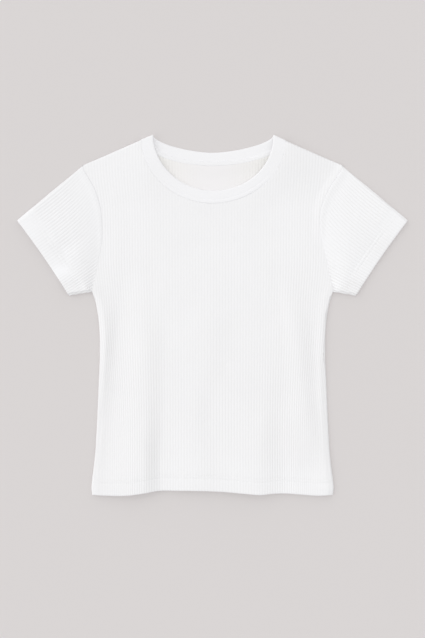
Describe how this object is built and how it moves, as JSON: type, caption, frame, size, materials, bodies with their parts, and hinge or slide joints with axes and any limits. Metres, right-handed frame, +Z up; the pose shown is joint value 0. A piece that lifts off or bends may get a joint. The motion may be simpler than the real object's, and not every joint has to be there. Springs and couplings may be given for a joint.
{
  "type": "ribbed t-shirt laid flat",
  "caption": "Fitted short-sleeved ribbed t-shirt with a scooped neckband, laid flat face up with open neck, cuffs and hem.",
  "frame": {"origin": "middle of the garment's outline, on the surface it lies on", "axes": "+Z up off the surface, +Y from the hem to the neck, +X to the sleeve on the right of someone who looks down at the front"},
  "size_m": [0.5998, 0.5556, 0.0092],
  "materials": {
    "rib_jersey": "matte",
    "neck_rib": "matte"
  },
  "bodies": {
    "root": {"back": "rib_jersey", "front": "rib_jersey", "sleeve_left": "rib_jersey", "sleeve_right": "rib_jersey", "neckband": "neck_rib"}
  },
  "joints": []
}
